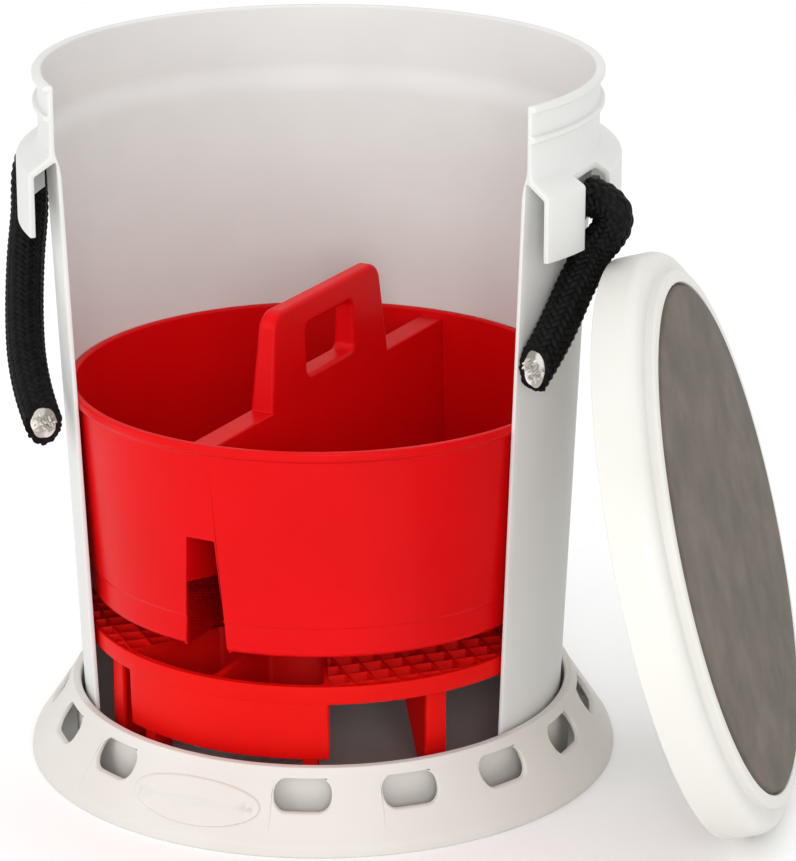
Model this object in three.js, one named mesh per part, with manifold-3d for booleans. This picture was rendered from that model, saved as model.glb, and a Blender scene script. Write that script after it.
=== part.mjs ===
// A five-gallon wash bucket shown cut open at the front: a flared base ring that keeps it steady, the bucket
// with its rope handle, a grate with sorting bins and legs, a lift-out caddy, and a padded seat lid beside it.
// Millimetres, +Z up. The origin is the middle of the base ring's underside. Angles go clockwise from +X, seen
// from above, so that 90 degrees faces the front, -Y.
import * as THREE from "three";
import { mergeVertices } from "three/addons/utils/BufferGeometryUtils.js";
import Module from "manifold-3d";

const wasm = await Module();
wasm.setup();

const SIDES = 72; // facets round each turned piece
const REST_GAP = 0.3; // between a piece and what it rests on

// Base ring
const baseFlare = 22; // from the shoulder out to the foot
const baseHeight = 41;
const baseEdge = 5; // height of the upright band round the foot
const baseWall = 3;
const baseStep = 1.5; // how far the skirt's underside sits below its outer corner
const baseFloor = 3;
const baseLip = 3; // rounding of the top lip
const socketWall = 2.8; // the inner ring that holds the bucket's foot
const socketGap = 1.8;
const windowCount = 16;
const windowWidth = 30;
const windowHeight = 15;
const windowCorner = 4.5;
const windowBottom = 20.5;
const windowTurn = 3.1; // angle of the first window
const windowDepth = 0.6; // how far the windows stop short of the socket
const padWindow = 5; // this window is left out for a blank oval pad
const padLength = 74;
const padHeight = 25;
const padProud = 1.4;

// Bucket
const bucketHeight = 380;
const bucketFootRadius = 130.3;
const bucketTaper = 0.0426; // gain of radius for each millimetre of height
const bucketWall = 2.3;
const bucketFloor = 3;
const bucketCorner = 3;
const neckStep = 3.1; // how far the neck stands out from the wall under it
const neckWall = 2.5;
const rimBead = 2.6; // how far the bead stands out from the neck
const rimBand = 3; // height of the rim bead and of the ring under it
const ringDrop = 15.5; // from the rim's bead to the ring under it
const collarDrop = 37.3; // from the rim down to the top of the collar's ledge
const collarReach = 12; // from the neck to the skirt's outside
const collarFall = 8; // how far the ledge slopes down to its edge
const collarPlate = 2.6;
const skirtWall = 3;
const skirtHeight = 34;

// Cutaway: the front of the wall between two angles is open, down to a low curb
const cutFrom = 43;
const cutTo = 158;
const curbHeight = 9;

// Rope handle, in two stubs that the cutaway leaves
const handleTurn = 24; // angle of the line through its two ends
const handleDrop = 56.8; // from the rim down to the rope's ends
const ropeRadius = 10.5;
const coverThickness = 3.3;
const coreGap = 0.3;
const notchFront = 9; // room in front of the rope
const notchBack = 2; // room behind it
const notchStep = 3.6; // from the neck out to the notch's back
const stopperLength = 44;
const stopperHeight = 14;
const stopperPlate = 3;
const stopperHead = 2.4;
const spikeRadius = 2.2;
const spikeLength = 5;
const spikeGap = 0.6;
const stopperGap = 0.9; // between the bar and the rope's end

// Grate
const grateTop = 82;
const grateGap = 2; // between its band and the bucket's wall
const bandHeight = 10;
const bandWall = 2.2;
const gridPitch = 24;
const gridRib = 1.8;
const gridDepth = 6;
const gridTurn = -20;
const binFrom = 87.3;
const binTo = 142.6;
const binInner = 66;
const binDepth = 41.5;
const binWall = 1.8;
const binDraft = 2.2;
const legAngles = [60, 152, 245, 335];
const legGap = 4.5; // between a leg and the foot of the bucket's wall
const legFlange = 12;
const legWall = 2.6;
const legWebTop = 38;
const legWebFoot = 9;
const binFootAngles = [92, 137];
const binFootWidth = 8;
const binFootDepth = 12;

// Caddy
const caddyClearance = 14.5; // between the grate and the caddy's underside
const caddyHeight = 116;
const caddyFootGap = 5.2; // between its foot and the bucket's wall
const caddyWall = 2.4;
const caddyRimGap = 0.5; // between its rim and the bucket's wall
const caddyLip = 4.5;
const lipReach = 1.8; // how far the lip stands out from the wall
const caddyStep = 17; // height of the shallow step round its foot
const stepDepth = 0.7;
const dividerTurn = 117.5;
const dividerTop = 14;
const dividerFoot = 29;
const dividerWall = 2.2;
const dividerDrop = 3.5; // from the caddy's rim down to the divider's top
const slotHeight = 62.5;
const gripHeight = 52; // from the divider's top to the top of the handle
const gripLength = 116;
const gripFoot = 132;
const gripThickness = 9.5;
const gripCorner = 8;
const gripOpening = 52;
const gripOpeningHeight = 28;
const gripBar = 14;

// Lid, gasket and seat pad
const lidGap = 0.5; // between the lid's skirt and the bucket's rim
const lidWall = 2.4;
const lidDepth = 21.8; // inside, from the open edge to the underside
const lidPlate = 2.6;
const lidRing = 5.2; // height of the ring that frames the pad
const ringWidth = 7;
const padInset = 17.1; // from the inside of the lid's skirt to the pad's edge
const padGap = 0.8;
const padThickness = 6.4;
const gasketWidth = 2.6;
const gasketHeight = 3;
const lidLean = 15.4; // from upright
const lidTurn = 12;
const lidTuck = 18.9; // how far its top reaches in under the rope
const lidShift = 0.3556; // how far it stands to the front, as a share of the collar's radius

// Sizes that follow from those
const bucketBottom = baseFloor + REST_GAP;
const rimTop = bucketBottom + bucketHeight;
const floorTop = bucketBottom + bucketFloor;
const bucketOuter = (z) => bucketFootRadius + bucketTaper * (z - bucketBottom);
const bucketInner = (z) => bucketOuter(z) - bucketWall;
const ledgeTop = rimTop - collarDrop;
const ledgeEdge = ledgeTop - collarFall;
const skirtBottom = ledgeEdge - skirtHeight;
const neckRadius = bucketOuter(ledgeTop) + neckStep;
const rimRadius = neckRadius + rimBead;
const collarRadius = neckRadius + collarReach;
const socketRadius = bucketOuter(baseHeight) + socketGap;
const shoulder = socketRadius + socketWall + baseLip;
const baseRadius = shoulder + baseFlare;
const caddyBottom = grateTop + caddyClearance;
const caddyTop = caddyBottom + caddyHeight;
const caddyFootRadius = bucketInner(caddyBottom) - caddyFootGap;
const caddyRimRadius = bucketInner(caddyTop) - caddyRimGap;
const caddyBodyRadius = caddyRimRadius - lipReach;
const dividerHeight = caddyTop - dividerDrop;
const grateRadius = bucketInner(grateTop - bandHeight) - grateGap;
const lidInner = rimRadius + lidGap;
const lidRadius = lidInner + lidWall;
const padRadius = lidInner - padInset;
const coreRadius = ropeRadius - coverThickness - coreGap;
const ropeHeight = rimTop - handleDrop;

const radians = THREE.MathUtils.degToRad;
// The point at an angle round the object, a distance out from its axis.
const around = (angle, r, z = 0) =>
  new THREE.Vector3(r * Math.cos(radians(angle)), -r * Math.sin(radians(angle)), z);

// A closed three.js geometry as a solid, its facets turned outwards and its flat slivers left out.
function solid(geometry) {
  const bare = geometry.clone();
  bare.deleteAttribute("normal");
  bare.deleteAttribute("uv");
  const merged = mergeVertices(bare, 1e-3);
  const p = merged.attributes.position.array;
  const index = merged.index.array;
  const kept = [];
  let volume = 0;
  for (let i = 0; i < index.length; i += 3) {
    const [a, b, c] = [index[i], index[i + 1], index[i + 2]];
    if (a === b || b === c || c === a) continue;
    kept.push(a, b, c);
    const [A, B, C] = [a, b, c].map((v) => new THREE.Vector3().fromArray(p, 3 * v));
    volume += A.dot(B.cross(C));
  }
  if (volume < 0) kept.reverse();
  return new wasm.Manifold(
    new wasm.Mesh({ numProp: 3, vertProperties: p, triVerts: new Uint32Array(kept) }),
  );
}

const joined = (solids) => solids.reduce((all, one) => all.add(one));

// A profile of [radius, height] points turned about the Z axis.
function turned(profile) {
  const points = profile.map(([r, z]) => new THREE.Vector2(r, z));
  const closed = profile[0][0] > 0 ? [...points, points[0].clone()] : points;
  return solid(new THREE.LatheGeometry(closed, SIDES).rotateX(Math.PI / 2));
}

// A flat outline of [x, y] points raised from one height to another.
function raised(outline, low, high) {
  const shape = new THREE.Shape(outline.map(([x, y]) => new THREE.Vector2(x, y)));
  const geometry = new THREE.ExtrudeGeometry(shape, { depth: high - low, bevelEnabled: false });
  return solid(geometry.translate(0, 0, low));
}

// A box from one corner to the other, turned about the Z axis to face an angle.
function block([x0, y0, z0], [x1, y1, z1], angle = 0) {
  const box = new THREE.BoxGeometry(x1 - x0, y1 - y0, z1 - z0);
  box.translate((x0 + x1) / 2, (y0 + y1) / 2, (z0 + z1) / 2);
  return solid(box.rotateZ(-radians(angle)));
}

// A wedge of space between two angles and two distances from the axis.
function sector(from, to, inner, outer, low, high) {
  const steps = Math.ceil((to - from) / 5);
  const arc = (r) =>
    Array.from({ length: steps + 1 }, (_, i) => around(from + ((to - from) * i) / steps, r));
  const near = inner > 0 ? arc(inner) : [new THREE.Vector3()];
  return raised([...arc(outer), ...near.reverse()].map((v) => [v.x, v.y]), low, high);
}

// A shape drawn across and up, pushed outwards from one distance to another, at an angle round the object.
function pushedOut(shape, from, to, angle, curveSegments = 2) {
  const geometry = new THREE.ExtrudeGeometry(shape, {
    depth: to - from,
    bevelEnabled: false,
    curveSegments,
  });
  geometry.rotateX(Math.PI / 2).rotateZ(Math.PI / 2);
  return solid(geometry.translate(from, 0, 0).rotateZ(-radians(angle)));
}

function roundedRectangle(left, right, bottom, top, corner) {
  const shape = new THREE.Shape();
  shape.moveTo(left + corner, bottom);
  shape.lineTo(right - corner, bottom);
  shape.absarc(right - corner, bottom + corner, corner, -Math.PI / 2, 0);
  shape.lineTo(right, top - corner);
  shape.absarc(right - corner, top - corner, corner, 0, Math.PI / 2);
  shape.lineTo(left + corner, top);
  shape.absarc(left + corner, top - corner, corner, Math.PI / 2, Math.PI);
  shape.lineTo(left, bottom + corner);
  shape.absarc(left + corner, bottom + corner, corner, Math.PI, Math.PI * 1.5);
  return shape;
}

// Base ring: a dish for the bucket's foot inside a flared skirt with a row of windows.
function baseRing() {
  const socketOuter = socketRadius + socketWall;
  const conePoint = (proud) => [
    [baseRadius + proud, baseEdge],
    [shoulder + proud, baseHeight - baseLip],
  ];
  const ring = turned([
    [0, 0],
    [socketOuter, 0],
    [socketOuter, baseHeight - baseLip - baseStep],
    [baseRadius - baseWall, baseEdge - 1],
    [baseRadius - baseWall, 0],
    [baseRadius, 0],
    ...conePoint(0),
    [shoulder - 1.5, baseHeight - 0.6],
    [socketRadius + 1.4, baseHeight],
    [socketRadius, baseHeight - 1.2],
    [socketRadius, baseFloor],
    [0, baseFloor],
  ]);
  const opening = roundedRectangle(
    -windowWidth / 2,
    windowWidth / 2,
    windowBottom,
    windowBottom + windowHeight,
    windowCorner,
  );
  const angles = Array.from({ length: windowCount }, (_, i) => windowTurn + (360 / windowCount) * i);
  const reach = [socketOuter + windowDepth, baseRadius + 10];
  const windows = angles
    .filter((_, i) => i !== padWindow)
    .map((angle) => pushedOut(opening, ...reach, angle));
  const oval = new THREE.Shape().absellipse(
    0, baseHeight / 2 + 1, padLength / 2, padHeight / 2, 0, 2 * Math.PI,
  );
  const [foot, top] = conePoint(padProud);
  const skin = turned([[shoulder - 2, baseEdge], foot, top, [shoulder - 2, baseHeight - baseLip]]);
  const pad = pushedOut(oval, shoulder - 1, baseRadius + 10, angles[padWindow], 14).intersect(skin);
  const hollow = turned([
    [socketOuter, 0.5],
    [socketOuter, baseHeight - baseLip - baseStep],
    [baseRadius - baseWall, baseEdge - 1],
    [baseRadius - baseWall, 0.5],
  ]);
  return ring.add(pad.subtract(hollow)).subtract(joined(windows));
}

// Bucket: one moulding, with a rim bead, a ring under it, and a collar with a hanging skirt.
function bucketShell() {
  const plateBottom = ledgeTop - collarPlate;
  const skirtInner = collarRadius - skirtWall;
  const ringTop = rimTop - ringDrop;
  const neckInner = neckRadius - neckWall;
  const whole = turned([
    [0, bucketBottom],
    [bucketFootRadius - bucketCorner, bucketBottom],
    [bucketOuter(bucketBottom + bucketCorner), bucketBottom + bucketCorner],
    [bucketOuter(plateBottom), plateBottom],
    [skirtInner, ledgeEdge - collarPlate + 0.6],
    [skirtInner, skirtBottom],
    [collarRadius, skirtBottom],
    [collarRadius, ledgeEdge - 1],
    [collarRadius - 1, ledgeEdge],
    [neckRadius, ledgeTop],
    [neckRadius, ringTop - rimBand - 0.8],
    [rimRadius, ringTop - rimBand],
    [rimRadius, ringTop - 0.8],
    [neckRadius, ringTop],
    [neckRadius, rimTop - rimBand - 0.8],
    [rimRadius, rimTop - rimBand],
    [rimRadius, rimTop - 1],
    [rimRadius - 1, rimTop],
    [neckInner + 1, rimTop],
    [neckInner, rimTop - 1],
    [neckInner, ledgeTop + 2],
    [bucketInner(ledgeEdge), ledgeEdge],
    [bucketInner(floorTop + bucketCorner), floorTop + bucketCorner],
    [bucketInner(floorTop) - bucketCorner, floorTop],
    [0, floorTop],
  ]);
  const cutaway = sector(
    cutFrom, cutTo, 0, collarRadius * 1.4, bucketBottom + curbHeight, rimTop + 10,
  );
  const notches = [0, 180].map((side) => {
    const front = ropeRadius + notchFront;
    const back = ropeRadius + notchBack;
    const [low, high] = side ? [-back, front] : [-front, back];
    return block(
      [neckRadius + notchStep, low, skirtBottom - 5],
      [collarRadius + 5, high, ledgeTop + 5],
      handleTurn + side,
    );
  });
  return whole.subtract(cutaway).subtract(joined(notches));
}

// The rope's route out of its notch and down against the wall. At each point: how far the rope's side stands
// off the bucket's wall, how far round the wall it has come towards the front, and how far down.
const rightRoute = [
  [-2.8, 0, 0], [1.4, 0, 0.1], [7.2, 0, 2.2], [12, 0.2, 6.8], [12.6, 0.6, 12.2],
  [9.8, 1.4, 18.6], [5.6, 3, 24.8], [2.8, 5.8, 31], [1.3, 10.6, 38.5], [0.6, 17.4, 46.5],
  [0.5, 24.7, 55.5], [0.5, 32.3, 64.5], [0.5, 40.9, 74], [0.8, 51.1, 84.5],
];
const leftRoute = [
  [-2.8, 0, 0], [1.4, 0, 0.1], [7, 0, 1.8], [13.5, 0.3, 6], [17.5, 1, 13], [19, 2.2, 21],
  [19.2, 4.5, 30], [18.8, 8.5, 39], [18.2, 15, 48], [17, 24, 57.5], [15, 34, 67], [12.8, 46, 77],
  [11, 60, 88], [9.5, 76, 99], [8.2, 92, 110], [7.2, 108, 121], [6.8, 123.2, 132.5],
];
const ropeStart = bucketOuter(ropeHeight) + ropeRadius + rightRoute[0][0];

// side is 1 for the end on the right and -1 for the one across from it
function ropeCurve(route, side) {
  const points = route.map(([stand, along, drop]) => {
    const z = ropeHeight - drop;
    const wall = bucketOuter(z);
    const turn = THREE.MathUtils.radToDeg(along / wall);
    const angle = side > 0 ? handleTurn + turn : handleTurn + 180 - turn;
    return around(angle, wall + ropeRadius + stand, z);
  });
  return new THREE.CatmullRomCurve3(points, false, "centripetal");
}

// A round rope section followed along the route, trimmed where the cutaway's plane passes.
function ropeStrand(route, side, outer, inner, steps) {
  const section = new THREE.Shape().absarc(0, 0, outer, 0, 2 * Math.PI);
  if (inner) section.holes.push(new THREE.Path().absarc(0, 0, inner, 0, 2 * Math.PI));
  const geometry = new THREE.ExtrudeGeometry(section, {
    extrudePath: ropeCurve(route, side),
    steps,
    curveSegments: 5,
    bevelEnabled: false,
  });
  const gone = sector(cutFrom, cutTo, 0, collarRadius * 2, grateTop, rimTop);
  return solid(geometry).subtract(gone);
}

function ropeCore(route, side, steps) {
  const bore = new THREE.Shape().absarc(0, ropeHeight, spikeRadius + spikeGap, 0, 2 * Math.PI);
  const end = ropeStart + spikeLength + spikeGap;
  const angle = side > 0 ? handleTurn : handleTurn + 180;
  return ropeStrand(route, side, coreRadius, 0, steps).subtract(
    pushedOut(bore, ropeStart - 2, end, angle, 5),
  );
}

// A flat bar behind the notch, riveted to the rope's end by a spike, so that the rope can't pull out.
function ropeStopper(side) {
  const angle = side > 0 ? handleTurn : handleTurn + 180;
  const face = ropeStart - stopperGap;
  const half = stopperLength / 2;
  const bar = roundedRectangle(
    -half, half, ropeHeight - stopperHeight / 2, ropeHeight + stopperHeight / 2, 3,
  );
  const disc = (r) => new THREE.Shape().absarc(0, ropeHeight, r, 0, 2 * Math.PI);
  return joined([
    pushedOut(bar, face - stopperPlate, face, angle),
    pushedOut(disc(spikeRadius * 2), face - stopperPlate - stopperHead, face - 1, angle, 5),
    pushedOut(disc(spikeRadius), face - 1, ropeStart + spikeLength, angle, 5),
  ]);
}

// Grate: a banded disc of crossed ribs on legs, with two deep bins at its front.
function grate() {
  const low = grateTop - gridDepth;
  const foot = floorTop + REST_GAP;
  const binBottom = grateTop - binDepth;
  const band = turned([
    [grateRadius - bandWall, grateTop - bandHeight],
    [grateRadius - 0.4, grateTop - bandHeight],
    [grateRadius, grateTop],
    [grateRadius - bandWall, grateTop],
  ]);
  const count = Math.floor(grateRadius / gridPitch);
  const ribs = [];
  for (const turn of [gridTurn, gridTurn + 90]) {
    for (let i = -count; i <= count; i++) {
      const y = (i + 0.5) * gridPitch;
      if (Math.abs(y) > grateRadius - gridPitch / 4) continue;
      ribs.push(
        block([-grateRadius, y - gridRib / 2, low], [grateRadius, y + gridRib / 2, grateTop], turn),
      );
    }
  }
  const disc = turned([
    [0, low], [grateRadius - 1, low], [grateRadius - 1, grateTop], [0, grateTop],
  ]);
  const binSpace = sector(binFrom, binTo, binInner, grateRadius * 1.2, low - 1, grateTop + 1);
  const grid = joined(ribs).intersect(disc).subtract(binSpace);

  const cone = turned([
    [0, binBottom], [grateRadius - binDraft, binBottom], [grateRadius, grateTop], [0, grateTop],
  ]);
  const binBody = sector(binFrom, binTo, binInner, grateRadius * 1.2, binBottom, grateTop);
  const middle = (binFrom + binTo) / 2;
  const wallAngle = THREE.MathUtils.radToDeg(binWall / binInner) * 0.8;
  const pocket = (from, to) =>
    sector(
      from + wallAngle, to - wallAngle, binInner + binWall, grateRadius - binDraft - binWall,
      binBottom + binWall, grateTop + 1,
    );
  const bins = binBody
    .intersect(cone)
    .subtract(pocket(binFrom, middle).add(pocket(middle, binTo)));

  const legOuter = bucketInner(foot) - legGap;
  const legs = legAngles.map((angle) => {
    const flange = block(
      [legOuter - legWall, -legFlange / 2, foot], [legOuter, legFlange / 2, grateTop - 2], angle,
    );
    const web = new THREE.Shape(
      [
        [legOuter - legWebFoot, foot],
        [legOuter - 1, foot],
        [legOuter - 1, grateTop - 2],
        [legOuter - legWebTop, grateTop - 2],
        [legOuter - legWebTop, grateTop - 9],
      ].map(([x, y]) => new THREE.Vector2(x, y)),
    );
    const geometry = new THREE.ExtrudeGeometry(web, { depth: legWall, bevelEnabled: false });
    geometry.translate(0, 0, -legWall / 2).rotateX(Math.PI / 2).rotateZ(-radians(angle));
    const shelf = block(
      [legOuter - legWebTop, -legFlange / 2, low], [grateRadius - 1, legFlange / 2, grateTop], angle,
    );
    return flange.add(solid(geometry)).add(shelf);
  });
  const binFeet = binFootAngles.map((angle) =>
    block(
      [legOuter - binFootDepth, -binFootWidth / 2, foot], [legOuter, binFootWidth / 2, binBottom + 1], angle,
    ),
  );
  return joined([band, grid, bins, ...legs, ...binFeet]);
}

// Caddy: a round tray split in two by a hollow divider, whose middle rises into the carrying handle.
function caddy() {
  const bodyAt = (z) =>
    caddyFootRadius + ((caddyBodyRadius - caddyFootRadius) * (z - caddyBottom)) / caddyHeight;
  const floor = caddyBottom + caddyWall;
  const stepZ = caddyBottom + caddyStep;
  const lipLow = caddyTop - caddyLip;
  const shell = turned([
    [0, caddyBottom],
    [caddyFootRadius - 3, caddyBottom],
    [bodyAt(caddyBottom + 3) - stepDepth, caddyBottom + 3],
    [bodyAt(stepZ) - stepDepth, stepZ],
    [bodyAt(stepZ + 1), stepZ + 1],
    [bodyAt(lipLow - 1.5), lipLow - 1.5],
    [caddyRimRadius, lipLow],
    [caddyRimRadius, caddyTop - 1.2],
    [caddyRimRadius - 1.2, caddyTop],
    [bodyAt(caddyTop) - caddyWall + 0.8, caddyTop],
    [bodyAt(caddyTop) - caddyWall, caddyTop - 0.8],
    [bodyAt(floor + 3) - caddyWall, floor + 3],
    [bodyAt(floor) - caddyWall - 3, floor],
    [0, floor],
  ]);
  const within = turned([
    [0, caddyBottom],
    [bodyAt(caddyBottom) - caddyWall / 2, caddyBottom],
    [bodyAt(dividerHeight) - caddyWall / 2, dividerHeight],
    [0, dividerHeight],
  ]);
  const reach = caddyRimRadius + 20;
  const gripTop = dividerHeight + gripHeight;

  // A ridge across the caddy whose half widths are given at three heights.
  const ridge = (foot, top, crest, low, high, length) => {
    const outline = new THREE.Shape(
      [
        [-foot, low], [foot, low], [top, dividerHeight], [crest, high], [-crest, high],
        [-top, dividerHeight],
      ].map(([x, y]) => new THREE.Vector2(x, y)),
    );
    return pushedOut(outline, -length, length, dividerTurn);
  };
  const foot = dividerFoot / 2;
  const top = dividerTop / 2;
  const bar = ridge(foot, top, gripThickness / 2, caddyBottom, gripTop, reach);
  const slope = (dividerFoot - dividerTop) / (dividerHeight - caddyBottom) / 2;

  // The space under the divider, and the slot at each end where it comes through the wall.
  const under = (height, length) => {
    const low = caddyBottom - 2;
    const halfAt = (z) => foot - dividerWall - slope * (z - caddyBottom);
    const outline = new THREE.Shape(
      [
        [-halfAt(low), low], [halfAt(low), low], [halfAt(height), height], [-halfAt(height), height],
      ].map(([x, y]) => new THREE.Vector2(x, y)),
    );
    return pushedOut(outline, -length, length, dividerTurn);
  };
  const inside = turned([
    [0, caddyBottom - 3],
    [bodyAt(caddyBottom) - caddyWall, caddyBottom - 3],
    [bodyAt(caddyTop) - caddyWall, caddyTop],
    [0, caddyTop],
  ]);

  const grip = roundedGrip(gripTop);
  const across = new THREE.ExtrudeGeometry(grip, {
    depth: dividerFoot,
    bevelEnabled: false,
    curveSegments: 2,
  });
  across.translate(0, 0, -dividerFoot / 2).rotateX(Math.PI / 2).rotateZ(-radians(dividerTurn));
  const handle = solid(across).intersect(bar);
  const divider = bar.intersect(within);
  return shell
    .add(divider)
    .add(handle)
    .subtract(under(caddyBottom + slotHeight, reach))
    .subtract(under(dividerHeight - dividerWall, reach).intersect(inside));
}

// The handle's outline in the divider's plane: wider at its foot, round at its top corners, with a finger opening.
function roundedGrip(gripTop) {
  const low = dividerHeight - 4;
  const half = gripLength / 2;
  const shape = new THREE.Shape();
  shape.moveTo(-gripFoot / 2, low);
  shape.lineTo(gripFoot / 2, low);
  shape.lineTo(half, gripTop - gripCorner);
  shape.absarc(half - gripCorner, gripTop - gripCorner, gripCorner, 0, Math.PI / 2);
  shape.lineTo(-half + gripCorner, gripTop);
  shape.absarc(-half + gripCorner, gripTop - gripCorner, gripCorner, Math.PI / 2, Math.PI);
  const opening = roundedRectangle(
    -gripOpening / 2, gripOpening / 2, gripTop - gripBar - gripOpeningHeight, gripTop - gripBar, 4,
  );
  shape.holes.push(opening);
  return shape;
}

// Seat lid, in its own frame: its open edge is at height 0 and its pad faces up.
function lidShell() {
  const top = lidDepth + lidPlate;
  const ringOuter = padRadius + padGap + ringWidth;
  const recess = padRadius + padGap;
  return turned([
    [0, lidDepth],
    [lidInner - 4, lidDepth],
    [lidInner - 1, lidDepth - 2],
    [lidInner, lidDepth - 5],
    [lidInner, 0],
    [lidRadius, 0],
    [lidRadius, lidDepth - 4.3],
    [lidRadius - 0.8, lidDepth - 1.3],
    [lidRadius - 2.8, lidDepth + 1],
    [lidRadius - 6, lidDepth + 2.2],
    [ringOuter + 1, top],
    [ringOuter, top + 1],
    [ringOuter - 0.3, top + lidRing - 1.2],
    [ringOuter - 1.5, top + lidRing],
    [recess + 0.8, top + lidRing],
    [recess, top + lidRing - 0.8],
    [recess, top],
    [0, top],
  ]);
}

function lidGasket() {
  const outer = lidInner - 4;
  const high = lidDepth - REST_GAP;
  return turned([
    [outer - gasketWidth, high - gasketHeight],
    [outer, high - gasketHeight],
    [outer, high],
    [outer - gasketWidth, high],
  ]);
}

function seatPad() {
  const low = lidDepth + lidPlate + REST_GAP;
  const high = low + padThickness;
  return turned([
    [0, low],
    [padRadius, low],
    [padRadius, high - 1.5],
    [padRadius - 1.5, high],
    [0, high],
  ]);
}

function finish(color, roughness, metalness = 0) {
  return new THREE.MeshStandardMaterial({ color, roughness, metalness });
}
const bucketWhite = finish(0xe9e6e1, 0.45);
const baseWhite = finish(0xe6e3de, 0.6);
const lidWhite = finish(0xf6f5ef, 0.4);
const caddyRed = finish(0xe3141b, 0.4);
const grateRed = finish(0xe01a18, 0.5);
const ropeBlack = finish(0x161413, 0.95);
const coreWhite = finish(0xe8e4d8, 0.95);
const padGrey = finish(0x77706a, 0.95);
const rubberGrey = finish(0x3a3a3a, 0.9);
const steel = finish(0xb8bcc0, 0.3, 1);

function part(name, manifold, material) {
  const mesh = manifold.getMesh();
  const geometry = new THREE.BufferGeometry();
  geometry.setAttribute("position", new THREE.BufferAttribute(mesh.vertProperties, 3));
  geometry.setIndex(new THREE.BufferAttribute(mesh.triVerts, 1));
  geometry.computeVertexNormals();
  const made = new THREE.Mesh(geometry, material);
  made.name = name;
  return made;
}

const bucketKit = new THREE.Group();
bucketKit.add(part("base_ring", baseRing(), baseWhite));
bucketKit.add(part("bucket_shell", bucketShell(), bucketWhite));
bucketKit.add(part("grate", grate(), grateRed));
bucketKit.add(part("caddy", caddy(), caddyRed));

const ropes = [
  { name: "right", route: rightRoute, side: 1, steps: 26 },
  { name: "left", route: leftRoute, side: -1, steps: 34 },
];
for (const { name, route, side, steps } of ropes) {
  const cover = ropeStrand(route, side, ropeRadius, coreRadius + coreGap, steps);
  bucketKit.add(part(`rope_cover_${name}`, cover, ropeBlack));
  bucketKit.add(part(`rope_core_${name}`, ropeCore(route, side, steps), coreWhite));
  bucketKit.add(part(`rope_stopper_${name}`, ropeStopper(side), steel));
}

// The lid stands on its edge and leans towards the bucket, its pad facing away and up.
const lid = new THREE.Group();
lid.add(part("lid_shell", lidShell(), lidWhite));
lid.add(part("lid_gasket", lidGasket(), rubberGrey));
lid.add(part("seat_pad", seatPad(), padGrey));
const level = Math.cos(radians(lidLean));
const lean = Math.sin(radians(lidLean));
const facing = around(lidTurn, level, lean);
lid.quaternion.setFromUnitVectors(new THREE.Vector3(0, 0, 1), facing);
lid.position.copy(around(lidTurn, collarRadius + 2 * ropeRadius + lidRadius * lean - lidTuck));
lid.position.add(around(lidTurn + 90, lidShift * collarRadius, lidRadius * level));
bucketKit.add(lid);

export default bucketKit;
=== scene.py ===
import math
import bmesh
import bpy
import numpy as np
from mathutils import Matrix, Vector


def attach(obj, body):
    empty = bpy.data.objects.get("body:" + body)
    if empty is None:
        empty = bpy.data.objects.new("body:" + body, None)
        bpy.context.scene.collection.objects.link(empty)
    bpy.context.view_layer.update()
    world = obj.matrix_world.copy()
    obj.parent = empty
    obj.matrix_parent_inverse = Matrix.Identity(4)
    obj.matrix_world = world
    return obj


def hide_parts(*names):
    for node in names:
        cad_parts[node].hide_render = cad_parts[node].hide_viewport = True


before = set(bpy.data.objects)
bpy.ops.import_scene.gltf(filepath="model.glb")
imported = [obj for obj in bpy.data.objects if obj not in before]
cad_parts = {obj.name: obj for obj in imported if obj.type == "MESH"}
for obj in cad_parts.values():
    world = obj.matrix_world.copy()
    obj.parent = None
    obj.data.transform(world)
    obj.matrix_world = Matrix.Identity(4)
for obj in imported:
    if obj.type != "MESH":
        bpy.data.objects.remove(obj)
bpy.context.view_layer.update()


# ---- Camera ----
# It stands in front of the bucket and above it, looking down over the rim into the open front.
camera_data = bpy.data.cameras.new("camera")
camera_data.lens = 152.9
camera_data.sensor_width = 36
camera_data.clip_end = 20
camera = bpy.data.objects.new("camera", camera_data)
camera.location = (0.0416, -1.8835, 0.8085)
camera.rotation_euler = (math.radians(71.53), 0, 0)
bpy.context.scene.collection.objects.link(camera)
bpy.context.scene.camera = camera
bpy.context.scene.view_settings.view_transform = "Standard"


# ---- Rope handle, in two stubs ----
# A 21 mm braided rope: a black polyester cover of 28 strands laid two over and two under, round a white
# core of loose fibre. Each stub leaves a notch in the bucket's collar, hangs against the wall, and is cut
# where the bucket is cut open, so the core shows at its end.
ROPE_RADIUS = 0.0105
CORE_RADIUS = 0.0071
HANDLE_TURN = 24  # degrees clockwise from +X, seen from above
ROPE_HEIGHT = 0.3265
CUT_FROM = 43
CUT_TO = 158
STRANDS = 14  # each way round
STRAND_STEP = 0.0039  # along the rope, from one strand to the next
STRAND_RELIEF = 0.0013
YARN_RELIEF = 0.00022
CAP_RING = 0.68  # a cut end's inner ring, as a share of its rim
TUFT_FOOT = 0.0012  # how deep a loose end is rooted in the core

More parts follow.
